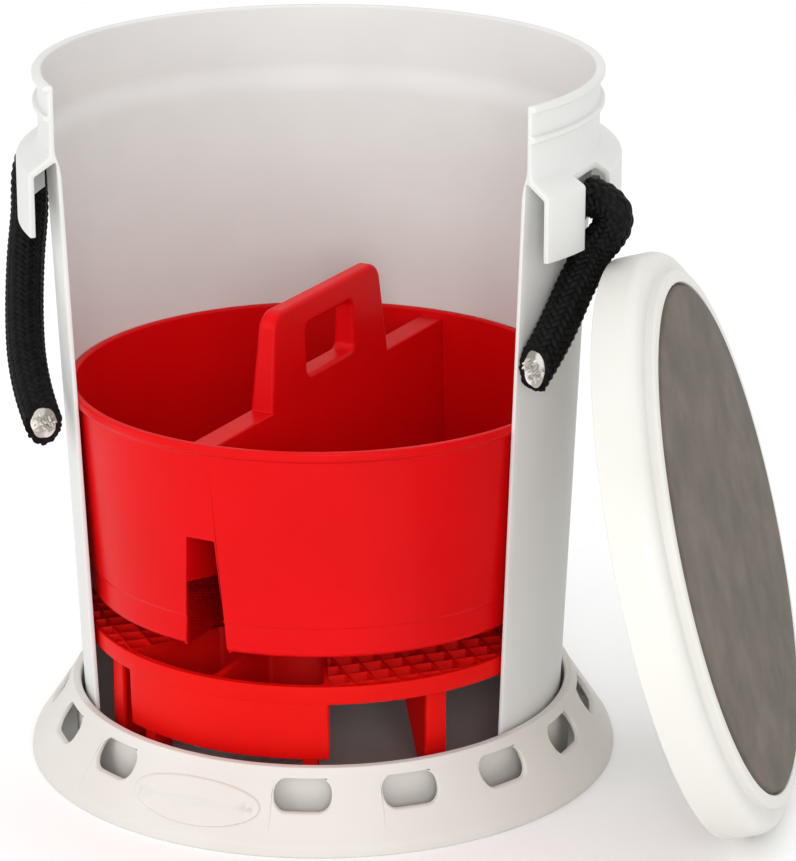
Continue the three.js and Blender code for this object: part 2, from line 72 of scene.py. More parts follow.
# How far the rope's side stands off the wall, how far round the wall it has come, and how far down, in mm
right_route = [
    (-2.8, 0, 0), (1.4, 0, 0.1), (7.2, 0, 2.2), (12, 0.2, 6.8), (12.6, 0.6, 12.2),
    (9.8, 1.4, 18.6), (5.6, 3, 24.8), (2.8, 5.8, 31), (1.3, 10.6, 38.5), (0.6, 17.4, 46.5),
    (0.5, 24.7, 55.5), (0.5, 32.3, 64.5), (0.5, 40.9, 74), (0.8, 51.1, 84.5),
]
left_route = [
    (-2.8, 0, 0), (1.4, 0, 0.1), (7, 0, 1.8), (14, 0.3, 6), (19, 1, 13), (21, 2.2, 21), (20.6, 4.5, 30),
    (18.8, 8.5, 39), (16.8, 15, 48), (14.4, 24, 57.5), (12, 34, 67), (9.8, 46, 77), (8.2, 60, 88),
    (7.4, 76, 99), (7, 92, 110), (6.8, 108, 121), (6.8, 123.2, 132.5),
]


def around(angle, radius, height=0.0):
    turn = math.radians(angle)
    return Vector((radius * math.cos(turn), -radius * math.sin(turn), height))


def rope_line(route, side):
    # One smooth curve through the route's points, in steps of about half a millimetre.
    knots = []
    for stand, along, drop in route:
        height = ROPE_HEIGHT - drop / 1000
        wall = 0.1303 + 0.0426 * (height - 0.0033)
        turn = math.degrees(along / 1000 / wall)
        angle = HANDLE_TURN + turn if side > 0 else HANDLE_TURN + 180 - turn
        knots.append(np.array(around(angle, wall + ROPE_RADIUS + stand / 1000, height)))
    knots = [2 * knots[0] - knots[1], *knots, 2 * knots[-1] - knots[-2]]
    line = []
    for a, b, c, d in zip(knots, knots[1:], knots[2:], knots[3:]):
        gaps = [np.linalg.norm(q - p) ** 0.5 for p, q in ((a, b), (b, c), (c, d))]
        start = ((b - a) / gaps[0] - (c - a) / (gaps[0] + gaps[1]) + (c - b) / gaps[1]) * gaps[1]
        end = ((c - b) / gaps[1] - (d - b) / (gaps[1] + gaps[2]) + (d - c) / gaps[2]) * gaps[1]
        for t in np.arange(0, 1, 0.05):
            u = 1 - t
            line.append(b * (1 + 2 * t) * u * u + start * t * u * u
                        + c * (1 + 2 * u) * t * t - end * u * t * t)
    return np.array(line + [knots[-2]])


def evenly(line, count):
    along = np.concatenate([[0], np.cumsum(np.linalg.norm(np.diff(line, axis=0), axis=1))])
    places = np.linspace(0, along[-1], count)
    return np.stack([np.interp(places, along, line[:, k]) for k in range(3)], 1), along[-1]


def rope_frame(line):
    # At each point of the line, two directions square to it that turn with it and don't twist.
    tangents = np.gradient(line, axis=0)
    tangents /= np.linalg.norm(tangents, axis=1)[:, None]
    across = np.cross(tangents[0], (0, 0, 1.0))
    sides = []
    for tangent in tangents:
        across = across - tangent * np.dot(across, tangent)
        across /= np.linalg.norm(across)
        sides.append(across)
    sides = np.array(sides)
    return sides, np.cross(tangents, sides)


def braid(along, turn):
    # The cover's relief: rounded strands that run both ways round, over two and under two, each of yarns.
    a = STRANDS * turn + along / STRAND_STEP
    b = STRANDS * turn - along / STRAND_STEP
    relief = np.zeros_like(a)
    shade = np.zeros_like(a)
    for mine, other, offset in ((a, b, 0), (b, a, 2)):
        across = mine - np.floor(mine)
        run = np.mod(np.floor(mine) + other - offset, 4) / 2
        on_top = run < 1
        crown = np.sqrt(np.clip(1 - (2 * across - 1) ** 2 * 0.96, 0, 1))
        arch = np.clip(np.sin(math.pi * np.clip(run, 0, 1)), 0, 1) ** 0.45
        yarn = np.abs(np.sin(3 * math.pi * across)) ** 0.6
        height = on_top * (STRAND_RELIEF * crown * arch + YARN_RELIEF * yarn * arch)
        relief = np.maximum(relief, height)
        shade = np.where(on_top, np.floor(mine) * 0.37 + offset, shade)
    return relief, np.mod(shade, 1)


def fibre_bundle(along, turn):
    lobes = np.abs(np.sin(math.pi * (5 * turn + along / 0.022)))
    return 0.0006 * lobes, np.mod(np.floor(5 * turn + along / 0.022) * 0.41, 1)


def rope_tube(line, radius, relief_of, steps, sides):
    points, length = evenly(line, steps + 1)
    side, up = rope_frame(points)
    bm = bmesh.new()
    bmesh.ops.create_grid(bm, x_segments=steps, y_segments=sides, size=0.5)
    bm.verts.ensure_lookup_table()
    flat = np.array([v.co[:2] for v in bm.verts]) + 0.5
    row = np.rint(flat[:, 0] * steps).astype(int)
    turn = np.rint(flat[:, 1] * sides) / sides
    relief, shade = relief_of(row / steps * length, turn)
    reach = (radius - relief.max() + relief)[:, None]
    angle = (turn * 2 * math.pi)[:, None]
    placed = points[row] + (np.cos(angle) * side[row] + np.sin(angle) * up[row]) * reach
    tint = bm.verts.layers.float.new("strand")
    for vert, place, value in zip(bm.verts, placed, shade):
        vert.co = place
        vert[tint] = value
    bmesh.ops.remove_doubles(bm, verts=bm.verts[:], dist=1e-6)
    return bm


def verts_in(geom):
    return [g for g in geom if isinstance(g, bmesh.types.BMVert)]


def cut_rope(bm, angle, keep, depth):
    # Cuts the rope on the plane of the cut bucket, and closes both its ends.
    normal = around(angle + 90, 1) * keep
    bmesh.ops.bisect_plane(bm, geom=bm.verts[:] + bm.edges[:] + bm.faces[:], dist=1e-7,
                           plane_co=(0, 0, 0), plane_no=normal, clear_outer=True)
    open_edges = [e for e in bm.edges if e.is_boundary]
    cut_end = [e for e in open_edges if all(abs(v.co.dot(normal)) < 1e-5 for v in e.verts)]
    hidden_end = [e for e in open_edges if e not in cut_end]
    for ring, reach in ((hidden_end, 0.0), (cut_end, depth)):
        rim = verts_in(bmesh.ops.extrude_edge_only(bm, edges=ring)["geom"])
        middle = sum((v.co for v in rim), Vector()) / len(rim)
        for vert in rim:
            vert.co = middle + (vert.co - middle) * CAP_RING - normal * reach * 0.35
        inner = {e for v in rim for e in v.link_edges if e.is_boundary}
        deeper = verts_in(bmesh.ops.extrude_edge_only(bm, edges=list(inner))["geom"])
        for vert in deeper:
            vert.co = middle + (vert.co - middle) * 0.05 - normal * reach
        bmesh.ops.pointmerge(bm, verts=deeper, merge_co=middle - normal * reach)
    bmesh.ops.holes_fill(bm, edges=[e for e in bm.edges if e.is_boundary], sides=0)
    bmesh.ops.recalc_face_normals(bm, faces=bm.faces[:])
    return normal


def piece(name, bm, finish, sharp=35):
    mesh = bpy.data.meshes.new(name)
    bm.to_mesh(mesh)
    bm.free()
    mesh.shade_smooth()
    mesh.set_sharp_from_angle(angle=math.radians(sharp))
    mesh.materials.append(finish)
    made = bpy.data.objects.new(name, mesh)
    bpy.context.scene.collection.objects.link(made)
    return made


def new_finish(name):
    finish = bpy.data.materials.new(name)
    finish.use_nodes = True
    return finish, finish.node_tree, finish.node_tree.nodes["Principled BSDF"]


def fibre_finish(name, gloss, dark, light, grain, detail, strength, depth):
    # Textile: each strand has its own tone between two, and fine fibres roughen it. On the core's loose
    # ends the tone also holds painted shade, darker towards their roots.
    finish, tree, shader = new_finish(name)
    shader.inputs["Roughness"].default_value = gloss
    strand = tree.nodes.new("ShaderNodeAttribute")
    strand.attribute_name = "strand"
    tones = tree.nodes.new("ShaderNodeValToRGB")
    tones.color_ramp.elements[0].color = (*dark, 1)
    tones.color_ramp.elements[1].color = (*light, 1)
    tree.links.new(strand.outputs["Fac"], tones.inputs["Fac"])
    tree.links.new(tones.outputs["Color"], shader.inputs["Base Color"])
    place = tree.nodes.new("ShaderNodeTexCoord")
    fibre = tree.nodes.new("ShaderNodeTexNoise")
    fibre.inputs["Scale"].default_value = grain
    fibre.inputs["Detail"].default_value = detail
    fuzz = tree.nodes.new("ShaderNodeBump")
    fuzz.inputs["Strength"].default_value = strength
    fuzz.inputs["Distance"].default_value = depth
    tree.links.new(place.outputs["Object"], fibre.inputs["Vector"])
    tree.links.new(fibre.outputs["Fac"], fuzz.inputs["Height"])
    tree.links.new(fuzz.outputs["Normal"], shader.inputs["Normal"])
    return finish, shader


rope_black, shader = fibre_finish("rope_black", 0.5, (0.0010, 0.0009, 0.0009), (0.0050, 0.0047, 0.0044),
                                  2600, 4, 0.5, 0.00025)
shader.inputs["Specular IOR Level"].default_value = 0.12
core_white, shader = fibre_finish("rope_core_white", 0.8, (0.20, 0.19, 0.15), (0.84, 0.83, 0.78),
                                  1900, 5, 0.8, 0.0004)
shader.inputs["Sheen Weight"].default_value = 0.15


def poured(into, bm):
    # Adds the shapes of one bmesh to another.
    mesh = bpy.data.meshes.new("poured")
    bm.to_mesh(mesh)
    bm.free()
    into.from_mesh(mesh)
    bpy.data.meshes.remove(mesh)


def frayed_core(line, cut_angle, normal, seed):
    # The core: a lobed bundle of fibre inside the cover, and the loose ends that fan out of the cut.
    bm = rope_tube(line, CORE_RADIUS, fibre_bundle, 90, 40)
    cut_rope(bm, cut_angle, 1 if normal.dot(around(cut_angle + 90, 1)) > 0 else -1, 0.0)
    middle = [v.co for v in bm.verts if abs(v.co.dot(normal)) < 1e-5]
    middle = sum(middle, Vector()) / len(middle)
    heading = Vector(line[-1] - line[-8]).normalized()
    across = normal.cross((0, 0, 1)).normalized()
    lift = across.cross(normal)
    chance = np.random.default_rng(seed)
    for ring, count in ((0.0, 1), (0.0020, 6), (0.0037, 10), (0.0053, 14)):
        for k in range(count):
            turn = 2 * math.pi * k / count + chance.uniform(-0.3, 0.3)
            lean = chance.uniform(-0.5, 0.5, 2)
            root = middle + across * ring * math.cos(turn) * 1.2 + lift * ring * math.sin(turn)
            tuft = bmesh.new()
            tint = tuft.verts.layers.float.new("strand")
            bmesh.ops.create_cone(tuft, cap_ends=True, segments=8, radius1=0.00105,
                                  radius2=chance.uniform(0.0002, 0.0006), depth=1.0)
            tall = chance.uniform(0.0028, 0.0062) - ring * 0.3
            edges = [e for e in tuft.edges if abs(e.verts[0].co.z - e.verts[1].co.z) > 0.5]
            bmesh.ops.subdivide_edges(tuft, edges=edges, cuts=4)
            out = (heading * 0.5 + normal).normalized()
            out = (out + across * lean[0] * 0.5 + lift * lean[1] * 0.5).normalized()
            one = out.cross(lift).normalized()
            two = out.cross(one)
            curl = chance.uniform(-0.0013, 0.0013, 2)
            tone = chance.uniform(0.25, 1)
            for vert in tuft.verts:
                rise = vert.co.z + 0.5
                # Each loose end has its own random tone, darkened towards its root: painted shade where the
                # ends crowd out of the core.
                vert[tint] = tone * (0.55 + 0.45 * rise)
                bend = rise * rise
                vert.co = (root + out * (rise * tall - TUFT_FOOT) + one * (vert.co.x + curl[0] * bend)
                           + two * (vert.co.y + curl[1] * bend))
            poured(bm, tuft)
    return bm


for name, route, side, cut_angle, keep, seed in (
    ("right", right_route, 1, CUT_FROM, 1, 5), ("left", left_route, -1, CUT_TO, -1, 11),
):
    line = rope_line(route, side)
    length = evenly(line, 2)[1]
    cover_mesh = rope_tube(line, ROPE_RADIUS, braid, round(length / 0.00042), 176)
    cut_normal = cut_rope(cover_mesh, cut_angle, keep, 0.0015)
    cover = piece("rope_cover_" + name + "_braid", cover_mesh, rope_black, 70)
    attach(cover, "rope_" + name)
    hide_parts("rope_cover_" + name)
    core_mesh = frayed_core(line, cut_angle, cut_normal, seed)
    core = piece("rope_core_" + name + "_fibre", core_mesh, core_white, 60)
    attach(core, "rope_" + name)
    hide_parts("rope_core_" + name)

# ---- Rope stoppers ----
# A flat bar of stainless steel behind each notch, riveted into the rope's end so that it can't pull out.
bar_steel, tree, shader = new_finish("bar_steel")
shader.inputs["Base Color"].default_value = (0.56, 0.57, 0.58, 1)
shader.inputs["Metallic"].default_value = 1
place = tree.nodes.new("ShaderNodeTexCoord")
stretch = tree.nodes.new("ShaderNodeMapping")
stretch.inputs["Scale"].default_value = (60, 60, 2400)
drawn = tree.nodes.new("ShaderNodeTexNoise")
drawn.inputs["Scale"].default_value = 1.0
drawn.inputs["Detail"].default_value = 3
polish = tree.nodes.new("ShaderNodeMapRange")
polish.inputs["To Min"].default_value = 0.24
polish.inputs["To Max"].default_value = 0.42
tree.links.new(place.outputs["Object"], stretch.inputs["Vector"])
tree.links.new(stretch.outputs["Vector"], drawn.inputs["Vector"])
tree.links.new(drawn.outputs["Fac"], polish.inputs["Value"])
tree.links.new(polish.outputs["Result"], shader.inputs["Roughness"])
for name in ("right", "left"):
    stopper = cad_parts["rope_stopper_" + name]
    stopper.data.materials.clear()
    stopper.data.materials.append(bar_steel)


# ---- Base ring ----
# A rotary-moulded polyethylene skirt that the bucket's foot drops into. Its face is matt and very slightly
# pebbled from the mould. Sixteen places for windows go round it, and one of them holds a blank oval pad.
base_profile = [
    (0, 0), (0.1365, 0), (0.1365, 0.0365, 0.002), (0.1585, 0.004), (0.1585, 0, 0.0008),
    (0.1615, 0, 0.0008), (0.1615, 0.005, 0.003), (0.1395, 0.038, 0.0025), (0.1383, 0.0408, 0.0018),
    (0.1337, 0.0410, 0.0014), (0.1337, 0.003, 0.0015), (0, 0.003),
]
WINDOW_WIDTH = 0.030
WINDOW_HEIGHT = 0.015
WINDOW_BOTTOM = 0.0205
WINDOW_CORNER = 0.0066
FIRST_WINDOW = 3.1
WINDOW_PLACES = 16
WINDOW_PITCH = 360 / WINDOW_PLACES
WINDOW_BACK = 0.1371  # just outside the wall that the bucket stands in
PAD_PLACE = 5
BADGE_HALF_WIDTH = 0.037
BADGE_HALF_HEIGHT = 0.0125
BADGE_HEIGHT = 0.0215
BADGE_DEPTH = 0.0023
BADGE_SUNK = 0.0011


def turned(profile, steps=192):
    # A profile of radius, height and the rounding of that corner, turned about the bucket's axis.
    bm = bmesh.new()
    corners = [bm.verts.new((p[0], 0, p[1])) for p in profile]
    for a, b in zip(corners, corners[1:]):
        bm.edges.new((a, b))
    if profile[0][0] > 0:
        bm.edges.new((corners[-1], corners[0]))
    for corner, point in zip(corners, profile):
        if len(point) > 2:
            bmesh.ops.bevel(bm, geom=[corner], offset=point[2], offset_type="OFFSET", segments=4,
                            profile=0.5, affect="VERTICES", material=-1, clamp_overlap=True)
    bmesh.ops.spin(bm, geom=bm.verts[:] + bm.edges[:], cent=(0, 0, 0), axis=(0, 0, 1), dvec=(0, 0, 0),
                   angle=2 * math.pi, steps=steps, use_merge=True, use_duplicate=False)
    bmesh.ops.remove_doubles(bm, verts=bm.verts[:], dist=1e-6)
    bmesh.ops.recalc_face_normals(bm, faces=bm.faces[:])
    return bm


def raised(bm, depth):
    # A flat sheet of faces made into a solid. Gives back what it added.
    grown = bmesh.ops.extrude_face_region(bm, geom=bm.faces[:], use_keep_orig=True)["geom"]
    bmesh.ops.translate(bm, verts=verts_in(grown), vec=depth)
    return grown


def pushed(outline, depth, rounding=0.0):
    # A flat outline pushed along a direction into a solid, with its corners rounded first.
    bm = bmesh.new()
    bm.faces.new([bm.verts.new(p) for p in outline])
    if rounding:
        bmesh.ops.bevel(bm, geom=bm.verts[:], offset=rounding, offset_type="OFFSET", segments=6,
                        profile=0.5, affect="VERTICES", material=-1)
    raised(bm, depth)
    bmesh.ops.recalc_face_normals(bm, faces=bm.faces[:])
    return bm


def cutter(bm):
    mesh = bpy.data.meshes.new("cutter")
    bm.to_mesh(mesh)
    bm.free()
    made = bpy.data.objects.new("cutter", mesh)
    bpy.context.scene.collection.objects.link(made)
    return made


def joined_by(made, operation, other):
    # One solid cut by another, added to it or kept within it. The other one is thrown away.
    step = made.modifiers.new("step", "BOOLEAN")
    step.operation = operation
    step.solver = "EXACT"
    step.object = other
    bpy.context.view_layer.update()
    seen = made.evaluated_get(bpy.context.evaluated_depsgraph_get())
    mesh = bpy.data.meshes.new_from_object(seen)
    made.modifiers.clear()
    made.data = mesh
    bpy.data.objects.remove(other)


SHARP_ANGLE = 36
WELD = 2e-5


def rounded_edges(made, width, segments=3, angle=38, level=False):
    bm = bmesh.new()
    bm.from_mesh(made.data)
    bmesh.ops.remove_doubles(bm, verts=bm.verts[:], dist=WELD)
    bmesh.ops.dissolve_degenerate(bm, dist=WELD, edges=bm.edges[:])
    bm.to_mesh(made.data)
    bm.free()
    step = made.modifiers.new("step", "BEVEL")
    step.width = width
    step.segments = segments
    step.limit_method = "ANGLE"
    step.angle_limit = math.radians(angle)
    step.use_clamp_overlap = False
    step.miter_outer = "MITER_ARC"
    bpy.context.view_layer.update()
    seen = made.evaluated_get(bpy.context.evaluated_depsgraph_get())
    mesh = bpy.data.meshes.new_from_object(seen)
    made.modifiers.clear()
    made.data = mesh
    made.data.shade_smooth()
    made.data.set_sharp_from_angle(angle=math.radians(SHARP_ANGLE))
    if level:
        # Long faces keep their own direction beside the small ones of the rounded edges.
        weigh = made.modifiers.new("weigh", "WEIGHTED_NORMAL")
        weigh.keep_sharp = True
        weigh.weight = 100


def moulded(name, light, dark, gloss, shine, grain_scale, grain_depth, glow=0.0):
    # Moulded plastic: a slow drift of colour, the mould's fine grain, and handling marks in its gloss.
    finish, tree, shader = new_finish(name)
    shader.inputs["Specular IOR Level"].default_value = shine
    shader.inputs["Subsurface Weight"].default_value = glow
    shader.inputs["Subsurface Radius"].default_value = (0.004, 0.003, 0.0025)
    shader.inputs["Subsurface Scale"].default_value = 1.0
    place = tree.nodes.new("ShaderNodeTexCoord")
    drift = tree.nodes.new("ShaderNodeTexNoise")
    drift.inputs["Scale"].default_value = 14
    drift.inputs["Detail"].default_value = 5
    tones = tree.nodes.new("ShaderNodeValToRGB")
    tones.color_ramp.elements[0].position = 0.3
    tones.color_ramp.elements[0].color = (*dark, 1)
    tones.color_ramp.elements[1].position = 0.7
    tones.color_ramp.elements[1].color = (*light, 1)
    grain = tree.nodes.new("ShaderNodeTexNoise")
    grain.inputs["Scale"].default_value = grain_scale
    grain.inputs["Detail"].default_value = 3
    rise = tree.nodes.new("ShaderNodeBump")
    rise.inputs["Strength"].default_value = 0.35
    rise.inputs["Distance"].default_value = grain_depth
    marks = tree.nodes.new("ShaderNodeTexNoise")
    marks.inputs["Scale"].default_value = 55
    marks.inputs["Detail"].default_value = 8
    marks.inputs["Roughness"].default_value = 0.65
    polish = tree.nodes.new("ShaderNodeMapRange")
    polish.inputs["From Min"].default_value = 0.3
    polish.inputs["From Max"].default_value = 0.7
    polish.inputs["To Min"].default_value = gloss - 0.04
    polish.inputs["To Max"].default_value = gloss + 0.06
    for texture in (drift, grain, marks):
        tree.links.new(place.outputs["Object"], texture.inputs["Vector"])
    tree.links.new(drift.outputs["Fac"], tones.inputs["Fac"])
    tree.links.new(tones.outputs["Color"], shader.inputs["Base Color"])
    tree.links.new(grain.outputs["Fac"], rise.inputs["Height"])
    tree.links.new(rise.outputs["Normal"], shader.inputs["Normal"])
    tree.links.new(marks.outputs["Fac"], polish.inputs["Value"])
    tree.links.new(polish.outputs["Result"], shader.inputs["Roughness"])
    return finish


base_white = moulded("base_white", (0.68, 0.655, 0.62), (0.64, 0.61, 0.57), 0.58, 0.3, 1500, 0.00012)
base = piece("base_ring_moulding", turned(base_profile), base_white)

badge = bmesh.new()
bmesh.ops.create_circle(badge, cap_ends=True, segments=96, radius=1)
bmesh.ops.scale(badge, vec=(BADGE_HALF_WIDTH, BADGE_HALF_HEIGHT, 1), verts=badge.verts[:])
top = [g for g in raised(badge, (0, 0, BADGE_DEPTH)) if isinstance(g, bmesh.types.BMFace)]
bmesh.ops.bevel(badge, geom=list(top[0].edges), offset=0.0009, offset_type="OFFSET", segments=3,
                profile=0.5, affect="EDGES", material=-1)
flat_top = [f for f in badge.faces if all(v.co.z > BADGE_DEPTH - 0.0001 for v in f.verts)]
for width in (0.0012, 0.002, 0.002, 0.002, 0.002):
    bmesh.ops.inset_region(badge, faces=flat_top, thickness=width, use_boundary=True)
for vert in badge.verts:
    height = BADGE_HEIGHT + vert.co.y * 0.84
    reach = 0.1615 - (height - 0.005) * 0.022 / 0.033
    turn = FIRST_WINDOW + WINDOW_PITCH * PAD_PLACE + math.degrees(vert.co.x / reach)
    vert.co = around(turn, reach + vert.co.z - BADGE_SUNK, height)
bmesh.ops.recalc_face_normals(badge, faces=badge.faces[:])

windows = bmesh.new()
for place_number in range(WINDOW_PLACES):
    if place_number == PAD_PLACE:
        continue
    half, low, high = WINDOW_WIDTH / 2, WINDOW_BOTTOM, WINDOW_BOTTOM + WINDOW_HEIGHT
    spot = [(WINDOW_BACK, y, z) for y, z in ((-half, low), (half, low), (half, high), (-half, high))]
    turn = Matrix.Rotation(-math.radians(FIRST_WINDOW + WINDOW_PITCH * place_number), 3, "Z")
    outline = [turn @ Vector(p) for p in spot]
    poured(windows, pushed(outline, turn @ Vector((0.034, 0, 0)), WINDOW_CORNER))
joined_by(base, "DIFFERENCE", cutter(windows))
rounded_edges(base, 0.0011, segments=3, level=True)
badge.from_mesh(base.data)
badge.to_mesh(base.data)
badge.free()
base.data.shade_smooth()
base.data.set_sharp_from_angle(angle=math.radians(SHARP_ANGLE))
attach(base, "base")
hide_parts("base_ring")


# ---- Bucket ----
# A five-gallon pail in natural white polyethylene, injection moulded in one piece with its rim bead, the
# ring under it, and the collar whose skirt hides the rope's ends. Its front is cut open down to a low curb.
CURB_TOP = 0.0123
bucket_profile = [
    (0, 0.0033), (0.1273, 0.0033), (0.1304, 0.0063, 0.002), (0.1448, 0.3434, 0.002),
    (0.1570, 0.3360, 0.001), (0.1570, 0.3040, 0.0006), (0.1600, 0.3040, 0.0006),
    (0.1600, 0.3380, 0.0014), (0.1480, 0.3460, 0.0022), (0.1480, 0.3642, 0.0012),
    (0.1506, 0.3648, 0.0006), (0.1506, 0.3676, 0.0010), (0.1480, 0.3680, 0.0006),
    (0.1480, 0.3797, 0.0012), (0.1506, 0.3803, 0.0006), (0.1506, 0.3833, 0.0013),
    (0.1455, 0.3833, 0.0013), (0.1455, 0.3480, 0.003), (0.14226, 0.3380, 0.004),
    (0.12822, 0.0093, 0.003), (0.1251, 0.0063), (0, 0.0063),
]
bucket_white = moulded("bucket_white", (0.69, 0.695, 0.675), (0.65, 0.655, 0.635),
                       0.42, 0.3, 700, 0.00008, 0.05)
bucket = piece("bucket_moulding", turned(bucket_profile), bucket_white)

opening = bmesh.new()
wedge = [(0, 0, CURB_TOP)]
wedge += [around(CUT_FROM + (CUT_TO - CUT_FROM) * k / 8, 0.26, CURB_TOP) for k in range(9)]
opening.faces.new([opening.verts.new(p) for p in wedge])
raised(opening, (0, 0, 0.40))
bmesh.ops.recalc_face_normals(opening, faces=opening.faces[:])
joined_by(bucket, "DIFFERENCE", cutter(opening))

NOTCH_FRONT = 0.0195
NOTCH_BACK = 0.0125
NOTCH_LOW = 0.299
NOTCH_HIGH = 0.351
notches = bmesh.new()
for side, low, high in ((0, -NOTCH_FRONT, NOTCH_BACK), (180, -NOTCH_BACK, NOTCH_FRONT)):
    corners = ((low, NOTCH_LOW), (high, NOTCH_LOW), (high, NOTCH_HIGH), (low, NOTCH_HIGH))
    spot = [(0.1516, y, z) for y, z in corners]
    turn = Matrix.Rotation(-math.radians(HANDLE_TURN + side), 3, "Z")
    poured(notches, pushed([turn @ Vector(p) for p in spot], turn @ Vector((0.0134, 0, 0))))
joined_by(bucket, "DIFFERENCE", cutter(notches))
rounded_edges(bucket, 0.00045, segments=2)
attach(bucket, "bucket")
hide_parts("bucket_shell")


# ---- Grate ----
# A red polypropylene grate that keeps the load out of the grit: crossed ribs at a 12 mm pitch inside a
# band, two deep bins sunk into its front, and webbed legs that stand on the bucket's floor.
GRATE_RADIUS = 0.12893
GRATE_TOP = 0.082
RIB_PITCH = 0.012
RIB = 0.0015
RIB_DEPTH = 0.006
RIB_TURN = 20
RIB_SUNK = 0.00015  # below the band's top
BAND = 0.0022
BIN_FROM = 87.3
BIN_TO = 142.6
BIN_INNER = 0.066
BIN_BOTTOM = 0.0405
BIN_WALL = 0.0018
grate_red = moulded("grate_red", (0.70, 0.005, 0.003), (0.63, 0.003, 0.002),
                    0.45, 0.09, 900, 0.00012, 0.02)


def slice_of(start, end, inner, outer, low, high, rounding=0.0):
    # A curved block between two angles, two distances from the axis and two heights.
    steps = max(4, round((end - start) / 2.5))
    angles = [start + (end - start) * k / steps for k in range(steps + 1)]
    bm = bmesh.new()
    near = [bm.verts.new(around(angle, inner, low)) for angle in angles]
    far = [bm.verts.new(around(angle, outer, low)) for angle in angles]
    bm.faces.new([*far, *near[::-1]])
    if rounding:
        bmesh.ops.bevel(bm, geom=[near[0], near[-1], far[0], far[-1]], offset=rounding,
                        offset_type="OFFSET", segments=5, profile=0.5, affect="VERTICES",
                        material=-1, clamp_overlap=True)
    raised(bm, (0, 0, high - low))
    bmesh.ops.recalc_face_normals(bm, faces=bm.faces[:])
    return bm


lattice = bmesh.new()
cells = 22
bmesh.ops.create_grid(lattice, x_segments=cells, y_segments=cells, size=cells * RIB_PITCH / 2)
bmesh.ops.inset_individual(lattice, faces=lattice.faces[:], thickness=RIB / 2, depth=0,
                           use_even_offset=True)
holes = [f for f in lattice.faces if f.calc_area() > (RIB_PITCH - RIB * 1.5) ** 2]
bmesh.ops.delete(lattice, geom=holes, context="FACES")
raised(lattice, (0, 0, RIB_DEPTH))
bmesh.ops.rotate(lattice, verts=lattice.verts[:], cent=(0, 0, 0),
                 matrix=Matrix.Rotation(math.radians(RIB_TURN), 3, "Z"))
bmesh.ops.translate(lattice, vec=(0, 0, GRATE_TOP - RIB_DEPTH - RIB_SUNK), verts=lattice.verts[:])
bmesh.ops.recalc_face_normals(lattice, faces=lattice.faces[:])
grate = piece("grate_moulding", lattice, grate_red)
reach = GRATE_RADIUS - 0.0015
disc = turned([(0, 0.070), (reach, 0.070), (reach, 0.090), (0, 0.090)], 96)
joined_by(grate, "INTERSECT", cutter(disc))
bins_place = slice_of(BIN_FROM + 0.3, BIN_TO - 0.3, BIN_INNER + 0.0005, 0.15, 0.06, 0.09)
joined_by(grate, "DIFFERENCE", cutter(bins_place))
rounded_edges(grate, 0.0003, segments=2)

band = piece("band", turned([
    (GRATE_RADIUS - BAND, 0.072, 0.0003), (GRATE_RADIUS - 0.0004, 0.072, 0.0003),
    (GRATE_RADIUS, GRATE_TOP, 0.0004), (GRATE_RADIUS - BAND, GRATE_TOP, 0.0004),
]), grate_red)

bins_mesh = slice_of(BIN_FROM, BIN_TO, BIN_INNER, GRATE_RADIUS - 0.0004, BIN_BOTTOM,
                     GRATE_TOP - 0.0001, 0.005)
bins = piece("bins", bins_mesh, grate_red)
cone = turned([(0, 0.03), (GRATE_RADIUS - 0.0028, 0.03), (GRATE_RADIUS + 0.0004, 0.09), (0, 0.09)], 144)
joined_by(bins, "INTERSECT", cutter(cone))
under_round = bmesh.new()
under_round.from_mesh(bins.data)
foot_edges = [e for e in under_round.edges if all(v.co.z < BIN_BOTTOM + 1e-5 for v in e.verts)
              and any(abs(f.normal.z) < 0.5 for f in e.link_faces)]
bmesh.ops.bevel(under_round, geom=foot_edges, offset=0.0024, offset_type="OFFSET", segments=4,
                profile=0.5, affect="EDGES", material=-1, clamp_overlap=True)
under_round.to_mesh(bins.data)
under_round.free()
middle = (BIN_FROM + BIN_TO) / 2
for start, end in ((BIN_FROM, middle), (middle, BIN_TO)):
    joined_by(bins, "DIFFERENCE", cutter(slice_of(
        start + 1.25, end - 0.8, BIN_INNER + BIN_WALL, GRATE_RADIUS - 0.0044,
        BIN_BOTTOM + BIN_WALL, GRATE_TOP + 0.01, 0.0036)))
rounded_edges(bins, 0.0004, segments=2)

LEG_OUTER = 0.12364
LEG_THICK = 0.0026
leg_pieces = []
for angle in (60, 152, 245, 335):
    turn = Matrix.Rotation(-math.radians(angle), 4, "Z")
    flange = bmesh.new()
    bmesh.ops.create_cube(flange, size=1)
    bmesh.ops.transform(flange, verts=flange.verts[:], matrix=(
        turn @ Matrix.Translation((LEG_OUTER - LEG_THICK / 2, 0, 0.0418))
        @ Matrix.Diagonal((LEG_THICK, 0.012, 0.0703, 1))))
    leg = piece("leg", flange, grate_red)
    outline = [(LEG_OUTER - 0.009, 0.0068), (LEG_OUTER - 0.001, 0.0068), (LEG_OUTER - 0.001, 0.0764),
               (LEG_OUTER - 0.038, 0.0764), (LEG_OUTER - 0.038, 0.071)]
    web = [turn @ Vector((x, -LEG_THICK / 2, z)) for x, z in outline]
    joined_by(leg, "UNION", cutter(pushed(web, turn.to_3x3() @ Vector((0, LEG_THICK, 0)))))
    leg_pieces.append(leg)
for foot_angle in (92, 137):
    foot = bmesh.new()
    bmesh.ops.create_cube(foot, size=1)
    bmesh.ops.transform(foot, verts=foot.verts[:], matrix=(
        Matrix.Rotation(-math.radians(foot_angle), 4, "Z")
        @ Matrix.Translation((LEG_OUTER - 0.006, 0, 0.0244))
        @ Matrix.Diagonal((0.012, 0.008, 0.0356, 1))))
    leg_pieces.append(piece("foot", foot, grate_red))
for leg in leg_pieces:
    rounded_edges(leg, 0.0005, segments=2)
whole_grate = bmesh.new()
whole_grate.from_mesh(grate.data)
